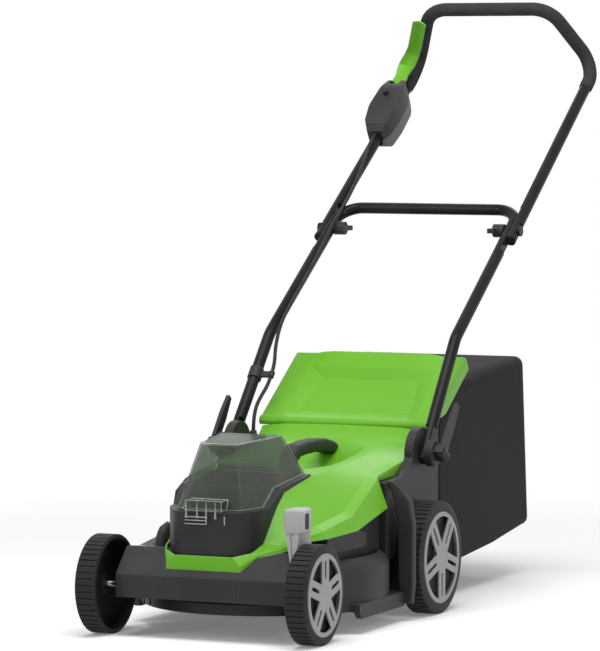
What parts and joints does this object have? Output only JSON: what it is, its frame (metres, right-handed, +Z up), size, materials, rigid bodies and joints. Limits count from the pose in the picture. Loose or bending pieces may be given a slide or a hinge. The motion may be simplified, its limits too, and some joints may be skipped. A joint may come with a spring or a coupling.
{
  "type": "push lawn mower",
  "caption": "Battery-driven push mower with moulded deck, clear battery lid, spoked wheels, folding tube handle and a fabric grass bag behind the rear flap.",
  "frame": {"origin": "on the ground, under the middle of the mower's overall box", "axes": "+Z up, -Y to the front, +Y to the handle, +X to the mower's left"},
  "size_m": [0.422, 1.2931, 0.9652],
  "materials": {
    "green_plastic": "satin moulded",
    "dark_plastic": "fine grain",
    "housing_plastic": "smooth satin",
    "wheel_plastic": "moulded tread",
    "hub_gray": "satin",
    "lever_gray": "satin",
    "clear_plastic": "clear tinted",
    "zinc_steel": "zinc plated",
    "blade_steel": "black coated, ground edges",
    "motor_metal": "dull",
    "board_green": "lacquered",
    "contact_brass": "bright",
    "key_red": "satin",
    "tube_black": "black powder coat",
    "grip_foam": "soft foam",
    "bag_fabric": "woven",
    "cable_rubber": "smooth"
  },
  "bodies": {
    "chassis": {"deck_shell": "dark_plastic", "discharge_chute": "dark_plastic", "rear_tower_left": "dark_plastic", "rear_tower_right": "dark_plastic", "hood": "green_plastic", "battery_housing": "housing_plastic", "battery_docks": "dark_plastic", "dock_terminals": "contact_brass", "lid_hinge_pin": "zinc_steel", "carry_handle": "dark_plastic", "motor": "motor_metal", "motor_screws": "zinc_steel", "controller_board": "board_green", "flap_hinge_rod": "zinc_steel", "axle_bearing_caps": "dark_plastic", "cable_gland": "dark_plastic", "cable_deck": "cable_rubber"},
    "front_axle_body": {"front_axle": "zinc_steel", "front_axle_nuts": "zinc_steel", "height_lever": "lever_gray"},
    "rear_axle_body": {"rear_axle": "zinc_steel", "rear_axle_nuts": "zinc_steel"},
    "link_body": {"link_rod": "zinc_steel"},
    "front_left_wheel": {"front_wheel_left": "wheel_plastic", "front_hubcap_left": "hub_gray"},
    "front_right_wheel": {"front_wheel_right": "wheel_plastic", "front_hubcap_right": "hub_gray"},
    "rear_left_wheel": {"rear_wheel_left": "wheel_plastic", "rear_hubcap_left": "hub_gray"},
    "rear_right_wheel": {"rear_wheel_right": "wheel_plastic", "rear_hubcap_right": "hub_gray"},
    "blade_body": {"motor_shaft": "zinc_steel", "blade_adapter": "zinc_steel", "blade": "blade_steel", "blade_bolt": "zinc_steel"},
    "lid_body": {"battery_lid": "clear_plastic"},
    "key_body": {"safety_key": "key_red"},
    "flap_body": {"rear_flap": "green_plastic"},
    "bag_body": {"grass_bag": "bag_fabric", "bag_frame": "dark_plastic", "bag_handle": "dark_plastic"},
    "lower_handle_body": {"lower_handle": "tube_black", "pivot_clamp_left": "dark_plastic", "pivot_clamp_right": "dark_plastic", "cable_lower": "cable_rubber", "cable_clip": "dark_plastic"},
    "upper_handle_body": {"upper_handle": "tube_black", "grip_sleeve": "grip_foam", "handle_bolts": "zinc_steel", "switch_box_upper": "dark_plastic", "switch_box_lower": "dark_plastic", "bail_pin": "zinc_steel", "cable_upper": "cable_rubber", "cable_fold": "cable_rubber"},
    "cam_left_body": {"cam_lever_left": "dark_plastic"},
    "cam_right_body": {"cam_lever_right": "dark_plastic"},
    "knob_left_body": {"wing_knob_left": "dark_plastic"},
    "knob_right_body": {"wing_knob_right": "dark_plastic"},
    "bail_body": {"bail_lever": "green_plastic"},
    "button_body": {"lock_button": "dark_plastic"}
  },
  "joints": [
    {"name": "height_adjust", "type": "hinge", "parent": "chassis", "child": "front_axle_body", "pos_m": [0, -0.51309, 0.0615], "axis": [1, 0, 0], "range_deg": [-14.28, 40.28]},
    {"name": "rear_axle_turn", "type": "hinge", "parent": "chassis", "child": "rear_axle_body", "pos_m": [0, -0.10609, 0.075], "axis": [1, 0, 0], "range_deg": [-14.28, 40.28]},
    {"name": "link_swing", "type": "hinge", "parent": "front_axle_body", "child": "link_body", "pos_m": [0.094, -0.5023, 0.10827], "axis": [1, 0, 0], "range_deg": [-40.28, 14.28]},
    {"name": "front_left_roll", "type": "hinge", "parent": "front_axle_body", "child": "front_left_wheel", "pos_m": [0.1713, -0.57156, 0.075], "axis": [1, 0, 0], "continuous": true},
    {"name": "rear_left_roll", "type": "hinge", "parent": "rear_axle_body", "child": "rear_left_wheel", "pos_m": [0.19, -0.16456, 0.0885], "axis": [1, 0, 0], "continuous": true},
    {"name": "front_right_roll", "type": "hinge", "parent": "front_axle_body", "child": "front_right_wheel", "pos_m": [-0.1713, -0.57156, 0.075], "axis": [1, 0, 0], "continuous": true},
    {"name": "rear_right_roll", "type": "hinge", "parent": "rear_axle_body", "child": "rear_right_wheel", "pos_m": [-0.19, -0.16456, 0.0885], "axis": [1, 0, 0], "continuous": true},
    {"name": "blade_spin", "type": "hinge", "parent": "chassis", "child": "blade_body", "pos_m": [0, -0.36656, 0.042], "axis": [0, 0, 1], "continuous": true},
    {"name": "lid_hinge", "type": "hinge", "parent": "chassis", "child": "lid_body", "pos_m": [0, -0.39356, 0.241], "axis": [-1, 0, 0], "range_deg": [0, 90]},
    {"name": "key_pull", "type": "slide", "parent": "chassis", "child": "key_body", "axis": [0, 0, 1], "range_m": [0, 0.02]},
    {"name": "flap_hinge", "type": "hinge", "parent": "chassis", "child": "flap_body", "pos_m": [0, -0.05856, 0.283], "axis": [1, 0, 0], "range_deg": [0, 22]},
    {"name": "bag_pull", "type": "slide", "parent": "chassis", "child": "bag_body", "axis": [0, 0.9511, 0.309], "range_m": [0, 0.45]},
    {"name": "lower_fold", "type": "hinge", "parent": "chassis", "child": "lower_handle_body", "pos_m": [0, -0.13356, 0.248], "axis": [-1, 0, 0], "range_deg": [-115, 0], "deforming": ["cable_deck"]},
    {"name": "upper_fold", "type": "hinge", "parent": "lower_handle_body", "child": "upper_handle_body", "pos_m": [0, 0.25244, 0.58322], "axis": [1, 0, 0], "range_deg": [-90, 0], "deforming": ["cable_fold"]},
    {"name": "cam_left_open", "type": "hinge", "parent": "lower_handle_body", "child": "cam_left_body", "pos_m": [0.1985, -0.13356, 0.248], "axis": [0, 0.7712, -0.6366], "range_deg": [0, 100]},
    {"name": "knob_left_turn", "type": "hinge", "parent": "upper_handle_body", "child": "knob_left_body", "pos_m": [0.153, 0.25244, 0.58322], "axis": [1, 0, 0], "continuous": true},
    {"name": "cam_right_open", "type": "hinge", "parent": "lower_handle_body", "child": "cam_right_body", "pos_m": [-0.1985, -0.13356, 0.248], "axis": [0, -0.7712, 0.6366], "range_deg": [0, 100]},
    {"name": "knob_right_turn", "type": "hinge", "parent": "upper_handle_body", "child": "knob_right_body", "pos_m": [-0.153, 0.25244, 0.58322], "axis": [1, 0, 0], "continuous": true},
    {"name": "bail_pull", "type": "hinge", "parent": "upper_handle_body", "child": "bail_body", "pos_m": [-0.16768, 0.54921, 0.80952], "axis": [1, 0, 0], "range_deg": [-5, 0], "stiffness_Nm_per_rad": 1, "springref_deg": 17.19},
    {"name": "button_press", "type": "slide", "parent": "upper_handle_body", "child": "button_body", "axis": [0, 0.5584, -0.8295], "range_m": [0, 0.003], "stiffness_N_per_m": 200, "springref_m": -0.004}
  ],
  "couplings": [
    {"joint": "rear_axle_turn", "follows": "height_adjust", "ratio": 1},
    {"joint": "link_swing", "follows": "height_adjust", "ratio": -1}
  ]
}
